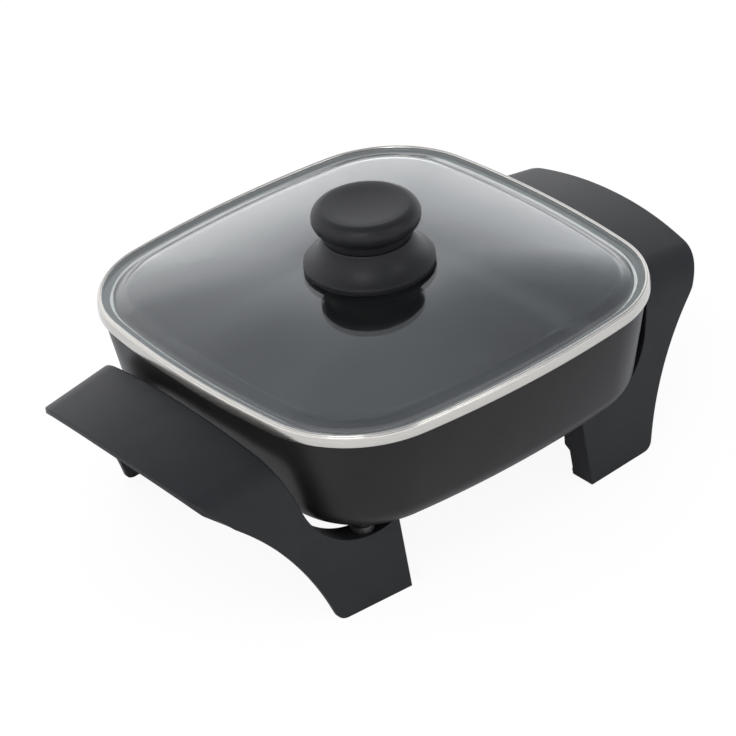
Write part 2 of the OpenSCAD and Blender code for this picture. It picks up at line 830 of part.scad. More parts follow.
module knob_washer() {
    color(steel) translate([0, 0, glass_top - glass_thickness - knob_washer_sheet])
        ring(seal_diameter, knob_screw_diameter + 1, knob_washer_sheet);
}

module knob_screw() {
    head_top = glass_top - glass_thickness - knob_washer_sheet;
    head_height = 0.7 * knob_screw_diameter;
    color(steel) {
        translate([0, 0, head_top - head_height])
            cylinder(d = 2 * knob_screw_diameter, h = head_height);
        translate([0, 0, head_top - overlap])
            cylinder(d = knob_screw_diameter, h = screw_top - head_top + overlap);
    }
}

// ---------------------------------------------------------------- nodes

pan_body();
heating_element();
terminal_pins();
terminal_insulators();
probe_sleeve();
socket_guard();
guard_bracket();
guard_screws();
guard_nuts();
bracket_screws();
left_handle();
right_handle();
handle_spacers();
left_handle_screws();
right_handle_screws();
left_handle_washers();
right_handle_washers();
lid_glass();
lid_band();
lid_gasket();
knob_grip();
knob_base();
knob_insert();
knob_seal();
knob_washer();
knob_screw();
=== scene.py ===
"""The looks of the electric skillet: smooth pieces over the CAD frame, materials, light, camera.

Sizes are in millimetres in the CAD's frame, z = 0 on the table, -Y to the front and +X to the
right handle. The meshes are in metres: MM turns one into the other.
"""

import math

import bmesh
import bpy
from mathutils import Matrix, Vector


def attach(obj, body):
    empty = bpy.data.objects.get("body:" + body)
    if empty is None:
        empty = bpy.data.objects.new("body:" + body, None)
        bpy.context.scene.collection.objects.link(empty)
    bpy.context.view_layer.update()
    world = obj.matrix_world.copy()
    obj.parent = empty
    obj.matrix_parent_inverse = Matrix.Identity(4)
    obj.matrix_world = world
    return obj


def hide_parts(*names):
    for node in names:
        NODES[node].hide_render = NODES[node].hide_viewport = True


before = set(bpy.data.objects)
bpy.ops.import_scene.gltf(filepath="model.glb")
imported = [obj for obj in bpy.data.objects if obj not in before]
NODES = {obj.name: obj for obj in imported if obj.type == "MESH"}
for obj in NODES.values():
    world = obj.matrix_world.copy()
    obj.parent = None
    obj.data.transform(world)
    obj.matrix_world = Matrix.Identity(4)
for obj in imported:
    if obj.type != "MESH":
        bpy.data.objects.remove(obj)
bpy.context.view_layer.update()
MM = 0.001

# The lid's and the pan's outline, seen from above
HALF_WIDTH = 108
CORNER_RADIUS = 53
SIDE_RADIUS = 490
SIDE_CENTRE = HALF_WIDTH - SIDE_RADIUS
CORNER_REACH = SIDE_RADIUS - CORNER_RADIUS
CORNER_CENTRE = (SIDE_CENTRE + math.sqrt(2 * CORNER_REACH**2 - SIDE_CENTRE**2)) / 2
SIDE_ANGLE = math.degrees(math.atan2(CORNER_CENTRE, CORNER_CENTRE - SIDE_CENTRE))

# Pan. An inset is a distance inside the outline, here and in the lid.
UNDERSIDE_Z = 40
RIM_Z = 93.8
RIM_INSET = 1.9
RIM_HEIGHT = 2.6
WALL_LEAN = 10.2
WALL = 3
FLOOR = 5
FLOOR_RADIUS = 15.8

# Lid
BAND_Z = 94
BAND_TOP = 99.9
BAND_SHEET = 0.5
FLANGE_INSET = 7.6
GASKET_INSET = 6
GLASS_EDGE_Z = BAND_TOP - BAND_SHEET
GLASS_EDGE_INSET = 1.05
GLASS = 3.6
GLASS_TOP = 110.3
GLASS_HOLE_RADIUS = 3.5
SHOULDER_START = 7.2
SHOULDER_END = 14.6
SHOULDER_RISE = 2.3
# How steep the shoulder is at distances from its start, each against the others
SHOULDER_SLOPES = [(0, 0), (1.6, 0.24), (5.0, 0.27), (6.4, 0.36), (7.4, 0.29)]
SHOULDER_STEPS = 40
DOME_STEPS = 70

# Knob
GRIP_DIAMETER = 50.2
NECK_DIAMETER = 40
BASE_DIAMETER = 60.4
GRIP_Z = GLASS_TOP + 14.8
KNOB_BORE = 9

# Handles, each one moulding that falls outwards by SLOPE degrees
REACH = 151.3
HEIGHT = 81.8
SLOPE = 8
SHEET = 2.6
EDGE_ROUND = 0.5
ARCH_RADIUS = 239
ARCH_HALF_LENGTH = 49.5
BEND_RADIUS = 23
OUTER_EDGE_RADIUS = 365
OUTER_EDGE_HALF_LENGTH = 50
HANDLE_CORNER = 23
INNER_EDGE_LEAN = 17.2

# Their legs. Each turns away from the other by SPREAD degrees, fully from y = SPREAD_FADE on.
SPREAD = 2.2
SPREAD_FADE = 20
LEG_LEAN = 8.9
LEG_CURVE_RADIUS = 129.4
FOOT_INNER = 54.5
FOOT_OUTER = 94.2
FOOT_SPLAY = 15.9
FOOT_CORNER = 5
LEDGE_X = 68.7
LEDGE_Z = 32.7
LEDGE_RADIUS = 34.7
SCREW = (69.5, 69)
PAD_RADIUS = 6.5
PAD_BORE = 2.2
PAD_HEIGHT = 6

# Their walls
RIB = 3
RIB_DEPTH = 13
RIB_START = 1.2
RIB_GAP = 0.06
SIDE_WALL_DEPTH = 17.6
STEP_Z = 10.5
STEP_HEIGHT = 4
FOOT_GAP = 0.02

# How finely they are divided, and the share of the leg's edge that the fan under the ledge takes
CROWN_STEPS = 24
BEND_STEPS = 36
LEG_STEPS = 6
LEDGE_STEPS = 40
FOOT_STEPS = 24
FAN_SHARE = 0.3

# A run past the foot, a place beyond every edge, and how often the searches go round
LONGEST_RUN = 250
FAR = 200
HALVINGS = 40
ROUNDS = 5

# The arch seen along X: a flat crown, a bend and a straight leg on each side
TURN = math.asin(ARCH_HALF_LENGTH / ARCH_RADIUS)
BEND_END = math.radians(90 - LEG_LEAN)
BEND_Y = (ARCH_RADIUS - BEND_RADIUS) * math.sin(TURN)
BEND_Z = (ARCH_RADIUS - BEND_RADIUS) * math.cos(TURN) - ARCH_RADIUS
CROWN_RUN = ARCH_RADIUS * TURN
BEND_RUN = CROWN_RUN + BEND_RADIUS * (BEND_END - TURN)
SLOPE_COS = math.cos(math.radians(SLOPE))
SLOPE_SIN = math.sin(math.radians(SLOPE))

# The ridges and bosses under the pan. Their roots end inside its floor.
ROOT_Z = UNDERSIDE_Z + 1
ELEMENT_Z = 35
RIDGE_RADIUS = 7
RIDGE_END = 85.3
LOOP_HALF_WIDTH = 56
LOOP_CORNER = 30
LEAD_Y = 14
LEAD_BEND = 10
PROBE_START = 16.3
PROBE_MIDDLE = 50
PROBE_BOSS_RADIUS = 8.5
SPACER_HEIGHT = 3.2
HANDLE_BOSS_RADIUS = 5.5
BRACKET_SCREW = (77.8, 27.5)
BRACKET_TOP_Z = 26.2
BRACKET_BOSS_RADIUS = 4.5


# ---------------------------------------------------------------- mesh helpers

def arc(centre, radius, start, end, count):
    """count + 1 points on an arc in the plane, from one angle in degrees to another."""
    points = []
    for i in range(count + 1):
        angle = math.radians(start + (end - start) * i / count)
        points.append((centre[0] + radius * math.cos(angle), centre[1] + radius * math.sin(angle)))
    return points


def piece(name, bm, body, mat, replaces=None):
    """Turns a bmesh in millimetres into a smooth piece that rides on a body."""
    merge_distance = 0.001
    bmesh.ops.remove_doubles(bm, verts=bm.verts, dist=merge_distance)
    loose = [edge for edge in bm.edges if not edge.link_faces]
    bmesh.ops.delete(bm, geom=loose, context="EDGES")
    bmesh.ops.recalc_face_normals(bm, faces=bm.faces)
    bmesh.ops.scale(bm, vec=(MM, MM, MM), verts=bm.verts)
    mesh = bpy.data.meshes.new(name)
    bm.to_mesh(mesh)
    bm.free()
    mesh.shade_smooth()
    obj = bpy.data.objects.new(name, mesh)
    bpy.context.scene.collection.objects.link(obj)
    mesh.materials.append(mat)
    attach(obj, body)
    if replaces:
        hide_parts(replaces)
    return obj


def loft(bm, rings, closed=True, cap=False):
    """Joins rings of equally many points with quads. A closed loft ends where it began."""
    loops = [[bm.verts.new(point) for point in ring] for ring in rings]
    pairs = list(zip(loops, loops[1:]))
    if closed:
        pairs.append((loops[-1], loops[0]))
    for low, high in pairs:
        for i in range(len(low)):
            j = (i + 1) % len(low)
            bm.faces.new((low[i], low[j], high[j], high[i]))
    if cap:
        bm.faces.new(loops[0])
        bm.faces.new(loops[-1])


def outline(inset):
    """The lid's outline seen from above, moved inwards by inset."""
    points = []
    for quarter in range(4):
        turn = Matrix.Rotation(math.radians(90 * quarter), 2)
        side = arc((SIDE_CENTRE, 0), SIDE_RADIUS - inset, -SIDE_ANGLE, SIDE_ANGLE, 20)
        corner = arc((CORNER_CENTRE, CORNER_CENTRE), CORNER_RADIUS - inset,
                     SIDE_ANGLE, 90 - SIDE_ANGLE, 24)
        points += [turn @ Vector(p) for p in side[:-1] + corner[:-1]]
    return points


def ring(inset, z):
    """The outline moved inwards by inset, at a height."""
    return [(p.x, p.y, z) for p in outline(inset)]


def around(section):
    """Rings for a section drawn as (distance inside the band's face, height)."""
    return [ring(inset, z) for inset, z in section]


def lathe(bm, profile, count=160):
    """Turns a closed profile of (radius, height) about the Z axis."""
    rings = []
    for i in range(count):
        angle = 2 * math.pi * i / count
        rings.append([(r * math.cos(angle), r * math.sin(angle), z) for r, z in profile])
    loft(bm, rings)


# ---------------------------------------------------------------- pan

def dish(top_inset, top_z, bottom_z, radius):
    """The line down a leaning wall and round a rounded foot, to where the floor begins."""
    lean = math.radians(WALL_LEAN)
    centre_z = bottom_z + radius
    centre_inset = top_inset + (top_z - centre_z) * math.tan(lean) + radius / math.cos(lean)
    foot = arc((centre_inset, centre_z), radius, 180 + WALL_LEAN, 270, 14)
    return [(top_inset, top_z)] + foot


def make_pan(mat):
    """The pan's shell, whose rim is thicker than its wall. Caps close the floor's middle."""
    outer_round, inner_round = 0.6, 0.5
    # The rim's lip over the inside, and how far in the wall leans beside the rim
    lip, lip_slope = 0.9, 0.3
    wall_shift = 0.5
    cap_inset = 45
    inner_inset = RIM_INSET + WALL / math.cos(math.radians(WALL_LEAN)) + wall_shift
    outside = dish(RIM_INSET, RIM_Z - outer_round, UNDERSIDE_Z, FLOOR_RADIUS)
    inside = dish(inner_inset, RIM_Z - RIM_HEIGHT, UNDERSIDE_Z + FLOOR, FLOOR_RADIUS - WALL)
    rim = arc((inner_inset + lip - inner_round, RIM_Z - inner_round), inner_round, 0, 90, 4)
    rim += arc((RIM_INSET + outer_round, RIM_Z - outer_round), outer_round, 90, 180, 4)
    section = [(cap_inset, UNDERSIDE_Z + FLOOR)] + inside[::-1]
    section += [(inner_inset + lip, RIM_Z - RIM_HEIGHT + lip_slope)] + rim + outside[1:]
    section += [(cap_inset, UNDERSIDE_Z)]
    bm = bmesh.new()
    loft(bm, around(section), closed=False, cap=True)
    piece("pan_shell", bm, "base", mat, "pan_body")


def element_path():
    """The element's way round the pan, from one lead's end to the other."""
    straight = LOOP_HALF_WIDTH - LOOP_CORNER
    bend = LOOP_HALF_WIDTH + LEAD_BEND
    half = [(RIDGE_END, LEAD_Y)]
    half += arc((bend, LEAD_Y + LEAD_BEND), LEAD_BEND, 270, 180, 10)
    half += arc((straight, straight), LOOP_CORNER, 0, 90, 16)
    half += arc((-straight, straight), LOOP_CORNER, 90, 180, 16)
    return half + [(x, -y) for x, y in half[::-1]]


def ridge_rings(path, radius):
    """Rings of a ridge with a round bottom along a path under the pan."""
    rings = []
    for i, (x, y) in enumerate(path):
        ahead = path[min(i + 1, len(path) - 1)]
        behind = path[max(i - 1, 0)]
        along = Vector((ahead[0] - behind[0], ahead[1] - behind[1])).normalized()
        section = arc((0, ELEMENT_Z), radius, 180, 360, 14)
        section += [(radius, ROOT_Z), (-radius, ROOT_Z)]
        rings.append([(x - along.y * s, y + along.x * s, z) for s, z in section])
    return rings


def make_ridge(name, path, radius, mat):
    """A ridge in which the element or the probe's sleeve is cast."""
    bm = bmesh.new()
    loft(bm, ridge_rings(path, radius), closed=False, cap=True)
    piece(name, bm, "base", mat)


def make_bosses(mat):
    """The bosses under the pan for the screws of the handles and of the socket's bracket."""
    chamfer, sides = 0.4, 24
    spots = [(x * SCREW[0], y * SCREW[1], LEDGE_Z + SPACER_HEIGHT, HANDLE_BOSS_RADIUS)
             for x in (-1, 1) for y in (-1, 1)]
    spots += [(BRACKET_SCREW[0], y * BRACKET_SCREW[1], BRACKET_TOP_Z, BRACKET_BOSS_RADIUS)
              for y in (-1, 1)]
    bm = bmesh.new()
    for x, y, z, radius in spots:
        rings = []
        for height, r in ((z, radius - chamfer), (z + chamfer, radius), (ROOT_Z, radius)):
            circle = arc((0, 0), r, 0, 360 - 360 / sides, sides - 1)
            rings.append([(x + px, y + py, height) for px, py in circle])
        loft(bm, rings, closed=False, cap=True)
    piece("pan_bosses", bm, "base", mat)


# ---------------------------------------------------------------- lid

def make_band(mat):
    """The steel band: a bowed side, a fine groove, the roll on to the glass and the flange."""
    side_turn, side_start = 16, 0.3
    roll_radius, roll_height, roll_end = 0.95, 1, 20
    # The groove, from the seam where the side and the roll meet
    groove_start = 0.45
    groove = [(-0.02, -0.42), (0.2, -0.3), (0.2, -0.12), (0.04, -0.02)]
    flange_round = 0.25
    side_radius = (BAND_TOP - BAND_Z - roll_height) / math.sin(math.radians(side_turn))
    side = arc((side_radius, BAND_Z + side_start), side_radius, 180, 180 - side_turn, 8)
    last = side[-1]
    centre = (last[0] + roll_radius * math.cos(math.radians(side_turn)),
              last[1] - roll_radius * math.sin(math.radians(side_turn)))
    roll = arc(centre, roll_radius, 180 - side_turn, roll_end, 12)
    shift = BAND_TOP - (centre[1] + roll_radius)
    side = [(x, z + shift) for x, z in side]
    roll = [(x, z + shift) for x, z in roll]
    seam = roll[0]
    side = [p for p in side if p[1] < seam[1] - groove_start]
    side += [(seam[0] + x, seam[1] + z) for x, z in groove]
    corner = [(0.3, BAND_Z), (0.08, BAND_Z + 0.1)]
    inside = [(1.6, GLASS_EDGE_Z + 0.02), (1.1, GLASS_EDGE_Z), (0.9, GLASS_EDGE_Z - 1),
              (0.6, BAND_Z + 1), (1, BAND_Z + BAND_SHEET)]
    flange = arc((FLANGE_INSET - flange_round, BAND_Z + flange_round), flange_round, 90, -90, 6)
    bm = bmesh.new()
    loft(bm, around(corner + side + roll + inside + flange))
    piece("lid_rim_band", bm, "lid", mat, "lid_band")


def make_gasket(mat):
    """The silicone strip, on the band's flange and under the glass and round its edge."""
    base = BAND_Z + BAND_SHEET
    top = GLASS_EDGE_Z - GLASS - 0.05
    collar = GLASS_EDGE_Z - 1
    section = [(0.75, base), (GASKET_INSET, base), (GASKET_INSET, top), (GLASS_EDGE_INSET, top),
               (1.0, collar), (0.9, collar)]
    bm = bmesh.new()
    loft(bm, around(section))
    piece("lid_seal", bm, "lid", mat, "lid_gasket")


def between(stops, place):
    """The value between the stops, given as (place, value)."""
    for (x0, value0), (x1, value1) in zip(stops, stops[1:]):
        if place <= x1:
            return value0 + (value1 - value0) * (place - x0) / (x1 - x0)
    return stops[-1][1]


def glass_rings(drop):
    """Rings of one face of the glass: a flat border, a sloping shoulder and a soft dome.

    The face lies drop below the glass's top. The dome is level under the knob, and its rings
    turn from the lid's outline to circles towards it.
    """
    level_radius = BASE_DIAMETER / 2 + 1
    run = HALF_WIDTH - SHOULDER_END
    dome = GLASS_TOP - GLASS_EDGE_Z - SHOULDER_RISE
    radius = ((run - level_radius) ** 2 + dome**2) / (2 * dome)
    rings = [ring(inset, GLASS_EDGE_Z - drop) for inset in (GLASS_EDGE_INSET, 3, 5, 6.4)]
    width = SHOULDER_END - SHOULDER_START
    heights = [0]
    for i in range(SHOULDER_STEPS):
        slope = between(SHOULDER_SLOPES, width * (i + 0.5) / SHOULDER_STEPS)
        heights.append(heights[-1] + slope)
    for i, height in enumerate(heights):
        inset = SHOULDER_START + width * i / SHOULDER_STEPS
        rings.append(ring(inset, GLASS_EDGE_Z + SHOULDER_RISE * height / heights[-1] - drop))
    hole = GLASS_HOLE_RADIUS / run
    edge = outline(SHOULDER_END)
    for i in range(1, DOME_STEPS + 1):
        scale = 1 + (hole - 1) * i / DOME_STEPS
        x = max(run * scale - level_radius, 0)
        z = GLASS_TOP - (radius - math.sqrt(radius**2 - x**2))
        rounder = [p * scale * (scale + (1 - scale) * run / p.length) for p in edge]
        rings.append([(p.x, p.y, z - drop) for p in rounder])
    return rings


def make_glass(mat):
    """The domed glass, with the hole for the knob's screw."""
    bm = bmesh.new()
    loft(bm, glass_rings(0) + glass_rings(GLASS)[::-1])
    piece("lid_dome", bm, "lid", mat, "lid_glass")


def make_knob_grip(mat):
    """The knob's grip: a short neck, a round edge and a dished top."""
    neck = NECK_DIAMETER / 2
    # The gap to the knob's base, and the flat left before the neck's round
    seam, margin = 0.1, 0.1
    neck_round, neck_fillet, neck_height = 0.4, 1.2, 4.4
    edge_radius, edge_start = 5.5, -75
    dish_rim, dish_depth, dish_steps = 1.5, 0.9, 10
    bore_height = 10
    edge_z = GRIP_Z + neck_height + edge_radius
    flat = GRIP_DIAMETER / 2 - edge_radius
    top = edge_z + edge_radius
    profile = [(KNOB_BORE / 2, GRIP_Z + seam), (neck - neck_round - margin, GRIP_Z + seam)]
    profile += arc((neck - neck_round, GRIP_Z + seam + neck_round), neck_round, -90, 0, 4)
    profile += arc((neck + neck_fillet, GRIP_Z + neck_height - neck_fillet), neck_fillet,
                   180, 100, 6)
    profile += arc((flat, edge_z), edge_radius, edge_start, 90, 28)
    dish_radius = flat - dish_rim
    for i in range(1, dish_steps + 1):
        r = dish_radius * (1 - i / dish_steps)
        profile.append((r, top - dish_depth * (1 - (r / dish_radius) ** 2)))
    profile += [(0, GRIP_Z + bore_height), (KNOB_BORE / 2, GRIP_Z + bore_height)]
    bm = bmesh.new()
    lathe(bm, profile)
    piece("knob_top", bm, "lid", mat, "knob_grip")


def hollow_curve(start, end, half_turn):
    """An arc that sags between two points, turning by half_turn degrees on each half."""
    chord = end - start
    fall = math.degrees(math.atan2(-chord.y, chord.x))
    radius = chord.length / (2 * math.sin(math.radians(half_turn)))
    middle = (start + end) / 2
    reach = radius * math.cos(math.radians(half_turn))
    centre = (middle.x + reach * math.sin(math.radians(fall)),
              middle.y + reach * math.cos(math.radians(fall)))
    return arc(centre, radius, 270 - fall - half_turn, 270 - fall + half_turn, 20)


def make_knob_base(mat):
    """The knob's base: it flares from the neck down to a thin rim that rests on the glass."""
    neck, rim = NECK_DIAMETER / 2, BASE_DIAMETER / 2
    hole_radius, recess_radius, recess_height = 3, 10, 1.5
    rim_round, rim_height = 0.5, 2.4
    half_turn = 25
    low = GLASS_TOP + 0.02
    high = GRIP_Z + 0.05
    flare = hollow_curve(Vector((neck + 0.6, GRIP_Z)), Vector((rim - 0.6, GLASS_TOP + 3.1)),
                         half_turn)
    profile = [(hole_radius, low + recess_height), (recess_radius, low + recess_height),
               (recess_radius, low), (rim - 1.2, low)]
    profile += arc((rim - rim_round, low + rim_round), rim_round, -80, 0, 5)
    profile += arc((rim - rim_round, GLASS_TOP + rim_height), rim_round, 0, 80, 5)
    profile += flare[::-1]
    profile += [(neck + 0.3, high), (hole_radius, high)]
    bm = bmesh.new()
    lathe(bm, profile)
    piece("knob_flare", bm, "lid", mat, "knob_base")


# ---------------------------------------------------------------- handles

def arch_point(run, depth):
    """A point of the arch seen along X: run along its surface from the top, depth inside it."""
    if run < CROWN_RUN:
        angle = run / ARCH_RADIUS
        radius = ARCH_RADIUS - depth
        y, z = 0, -ARCH_RADIUS
    else:
        angle = min(TURN + (run - CROWN_RUN) / BEND_RADIUS, BEND_END)
        radius = BEND_RADIUS - depth
        y, z = BEND_Y, BEND_Z
    rest = max(run - BEND_RUN, 0)
    return (y + radius * math.sin(angle) + rest * math.cos(BEND_END),
            z + radius * math.cos(angle) - rest * math.sin(BEND_END))


def run_where(axis, value, depth):
    """The run at which the arch reaches a given y (axis 0) or z (axis 1), by halving."""
    low, high = 0, LONGEST_RUN
    for _ in range(HALVINGS):
        middle = (low + high) / 2
        reached = arch_point(middle, depth)[axis]
        before = reached < value if axis == 0 else reached > value
        low, high = (middle, high) if before else (low, middle)
    return low


def spread_at(y):
    """Each leg turns away from the other. The turn fades out in the middle of the arch."""
    return math.radians(SPREAD) * min(abs(y) / SPREAD_FADE, 1)


def on_handle(point, depth, side):
    """The place in space of a point of the unrolled moulding, given as (x, run)."""
    x, run = point
    y, z = arch_point(run, depth)
    turn = spread_at(y)
    out = x * SLOPE_COS + z * SLOPE_SIN
    up = HEIGHT - x * SLOPE_SIN + z * SLOPE_COS
    return (REACH + out * math.cos(turn) + y * math.sin(turn),
            side * (y * math.cos(turn) - out * math.sin(turn)),
            up)


def from_front(point, depth):
    """The point of the unrolled moulding that the front view shows at (X, Z).

    The turn depends on the y that is sought, so a few rounds settle both.
    """
    y = 0
    for _ in range(ROUNDS):
        turn = spread_at(y)
        out = (point[0] - REACH - y * math.sin(turn)) / math.cos(turn)
        up = point[1] - HEIGHT
        run = run_where(1, out * SLOPE_SIN + up * SLOPE_COS, depth)
        y = arch_point(run, depth)[0]
    return (out * SLOPE_COS - up * SLOPE_SIN, run)


def from_above(point, depth):
    """The point of the unrolled moulding that the top view shows at (X, Y), found as above."""
    y = point[1]
    for _ in range(ROUNDS):
        turn = spread_at(y)
        out = (point[0] - REACH) * math.cos(turn) - point[1] * math.sin(turn)
        y = max((point[0] - REACH) * math.sin(turn) + point[1] * math.cos(turn), 0)
    run = run_where(0, y, depth)
    return ((out - arch_point(run, depth)[1] * SLOPE_SIN) / SLOPE_COS, run)


def inner_edge(inset, depth):
    """The inner edge on the unrolled moulding, from the middle of the arch to the foot."""
    side = FOOT_INNER + inset
    radius = LEDGE_RADIUS + inset
    centre = (LEDGE_X, LEDGE_Z + LEDGE_RADIUS)
    end = -math.degrees(math.acos((side - LEDGE_X) / radius))
    ledge = arc(centre, radius, -INNER_EDGE_LEAN, end, LEDGE_STEPS)
    lean = math.tan(math.radians(INNER_EDGE_LEAN))
    first = ledge[0]
    last_run = from_front(first, depth)[1]
    runs = [CROWN_RUN * i / CROWN_STEPS for i in range(CROWN_STEPS)]
    runs += [CROWN_RUN + (BEND_RUN - CROWN_RUN) * i / BEND_STEPS for i in range(BEND_STEPS)]
    runs += [BEND_RUN + (last_run - BEND_RUN) * i / LEG_STEPS for i in range(LEG_STEPS)]
    points = []
    for run in runs:
        y, z = arch_point(run, depth)
        turn = spread_at(y)
        level = first[0] + (HEIGHT + z * SLOPE_COS - first[1]) * lean - REACH
        level -= z * SLOPE_SIN * math.cos(turn) + y * math.sin(turn)
        points.append((level / (SLOPE_COS * math.cos(turn) + SLOPE_SIN * lean), run))
    foot = [(side, ledge[-1][1] * (1 - i / FOOT_STEPS)) for i in range(1, FOOT_STEPS + 1)]
    return points + [from_front(p, depth) for p in ledge + foot]


def outer_edge():
    """The leg's outer edge, seen from the front: the foot's round corner and a hollow curve."""
    curve_end = 110
    splay = math.radians(FOOT_SPLAY)
    setback = FOOT_CORNER * math.tan(math.radians(45 - FOOT_SPLAY / 2))
    centre = (FOOT_OUTER + LEG_CURVE_RADIUS * math.cos(splay),
              -LEG_CURVE_RADIUS * math.sin(splay))
    start = 180 - FOOT_SPLAY - math.degrees(setback / LEG_CURVE_RADIUS)
    corner = arc((FOOT_OUTER - setback, FOOT_CORNER), FOOT_CORNER, -90, -FOOT_SPLAY, 8)
    leg = arc(centre, LEG_CURVE_RADIUS, start, curve_end, 60)
    return corner + leg[1:]


def plan_edge():
    """The moulding's bowed outer edge and its round corner, seen from above."""
    corner_end = 74
    turn = math.degrees(math.asin(OUTER_EDGE_HALF_LENGTH / OUTER_EDGE_RADIUS))
    centre_x = REACH - OUTER_EDGE_RADIUS
    reach = OUTER_EDGE_RADIUS - HANDLE_CORNER
    corner = (centre_x + reach * math.cos(math.radians(turn)),
              reach * math.sin(math.radians(turn)))
    bow = arc((centre_x, 0), OUTER_EDGE_RADIUS, 0, turn, 24)
    return bow[:-1] + arc(corner, HANDLE_CORNER, turn, corner_end, 40)


def at_run(curve, run):
    """The x of a curve at a run, or a far one where the curve doesn't reach."""
    for (x0, run0), (x1, run1) in zip(curve, curve[1:]):
        if run0 <= run < run1:
            return x0 + (x1 - x0) * (run - run0) / (run1 - run0)
    return FAR


def walk(points, share):
    """The point at a share of the length of a line."""
    lengths = [math.dist(a, b) for a, b in zip(points, points[1:])]
    left = share * sum(lengths)
    for start, end, length in zip(points, points[1:], lengths):
        if left < length:
            return blend(start, end, left / length)
        left -= length
    return points[-1]


def blend(start, end, share):
    """The point at a share of the way between two points."""
    return tuple(a + (b - a) * share for a, b in zip(start, end))


def rungs(depth):
    """Pairs of points across the unrolled moulding, from the middle of the arch to the foot.

    Each lies across the arch, down to the ledge's lowest point. Below it they fan out until
    the last one is the foot's lower edge.
    """
    inner = inner_edge(0, depth)
    top = [from_above(p, depth) for p in plan_edge()]
    leg = [from_front(p, depth) for p in outer_edge()][::-1]
    down = inner[:-FOOT_STEPS]
    lowest = down.index(max(down, key=lambda p: p[1]))
    pairs = []
    for x, run in inner[:lowest + 1]:
        pairs.append(((x, run), (min(at_run(top, run), at_run(leg, run)), run)))
    last = pairs[-1][1]
    tail = [last] + [p for p in leg if p[1] > last[1]]
    fan = len(down) - lowest - 1
    shares = [FAN_SHARE * (i + 1) / fan for i in range(fan)]
    shares += [FAN_SHARE + (1 - FAN_SHARE) * (i + 1) / FOOT_STEPS for i in range(FOOT_STEPS)]
    for point, share in zip(inner[lowest + 1:], shares):
        pairs.append((point, walk(tail, share)))
    return pairs


def plate_section(width):
    """The sheet's section: distances from its inner edge, and depths."""
    margin, strips = 1.2, 10
    chamfer, back_strips = 0.3, 6
    rounded = [(EDGE_ROUND - x, EDGE_ROUND - y) for x, y in arc((0, 0), EDGE_ROUND, 0, 90, 3)]
    middle = [(margin + (width - 2 * margin) * i / strips, 0) for i in range(strips + 1)]
    back = [(width, SHEET - chamfer), (width - chamfer, SHEET)]
    back += [(width * (1 - i / back_strips), SHEET) for i in range(1, back_strips)]
    back += [(chamfer, SHEET), (0, SHEET - chamfer)]
    return rounded + middle + [(width - x, depth) for x, depth in rounded[::-1]] + back


def both_legs(bm, count, section):
    """Lofts a section from one foot over the arch to the other foot."""
    places = [(i, 1) for i in range(count - 1, -1, -1)] + [(i, -1) for i in range(1, count)]
    rings = [[on_handle(p, depth, side) for p, depth in section(i)] for i, side in places]
    loft(bm, rings, closed=False, cap=True)


def add_plate(bm):
    """The curved sheet that is the handle's crown, its bends and the front of its legs."""
    surface, back = rungs(0), rungs(SHEET)

    def section(i):
        (start, end), (start_back, end_back) = surface[i], back[i]
        width = math.dist(start, end)
        points = []
        for x, depth in plate_section(width):
            low = blend(start, start_back, depth / SHEET)
            high = blend(end, end_back, depth / SHEET)
            points.append((blend(low, high, x / width), depth))
        return points

    both_legs(bm, len(surface), section)


def add_walls(bm):
    """The walls behind the inner edge."""
    chamfer = 0.5
    near = inner_edge(RIB_GAP, RIB_START)
    corner = inner_edge(RIB_GAP, RIB_DEPTH - chamfer)
    turned = inner_edge(RIB_GAP + chamfer, RIB_DEPTH)
    far = inner_edge(RIB, RIB_DEPTH)
    far_start = inner_edge(RIB, RIB_START)

    def section(i):
        return [(near[i], RIB_START), (corner[i], RIB_DEPTH - chamfer), (turned[i], RIB_DEPTH),
                (far[i], RIB_DEPTH), (far_start[i], RIB_START)]

    both_legs(bm, len(near), section)


def add_foot_floor(bm, side):
    """The strip that closes the foot from below, between its inner and its outer edge."""
    steps, outer_gap = 4, 10
    corners = [(FOOT_GAP, RIB_START), (FOOT_GAP, RIB_DEPTH), (RIB, RIB_DEPTH), (RIB, RIB_START)]
    rings = []
    for i in range(steps + 1):
        x = FOOT_INNER + RIB_GAP + (FOOT_OUTER - outer_gap - FOOT_INNER) * i / steps
        rings.append([on_handle(from_front((x, z), depth), depth, side) for z, depth in corners])
    loft(bm, rings, closed=False, cap=True)


def add_side_wall(bm, side):
    """The leg's inner side wall, up to the ledge. It grows deeper at a step above the foot."""
    step_slope, chamfer = 1.4, 0.4
    front_top, front_foot = 6, 1.5
    lean = math.tan(math.radians(LEG_LEAN))
    spread_share = math.tan(math.radians(SLOPE)) * lean + math.tan(math.radians(SPREAD))
    foot_y = BEND_Y + BEND_RADIUS + (HEIGHT + BEND_Z) * lean
    foot_y += (REACH - FOOT_INNER) * spread_share
    step_y = foot_y - RIB_DEPTH
    shelf_y = foot_y - SIDE_WALL_DEPTH
    shape = [(step_y, FOOT_GAP), (step_y + step_slope, STEP_Z), (shelf_y, STEP_Z + STEP_HEIGHT),
             (shelf_y, LEDGE_Z - chamfer), (shelf_y + chamfer, LEDGE_Z),
             (foot_y - front_top, LEDGE_Z), (foot_y - front_foot, FOOT_GAP)]
    faces = (FOOT_INNER + FOOT_GAP, FOOT_INNER + RIB)
    rings = [[(x, side * y, z) for y, z in shape] for x in faces]
    loft(bm, rings, closed=False, cap=True)


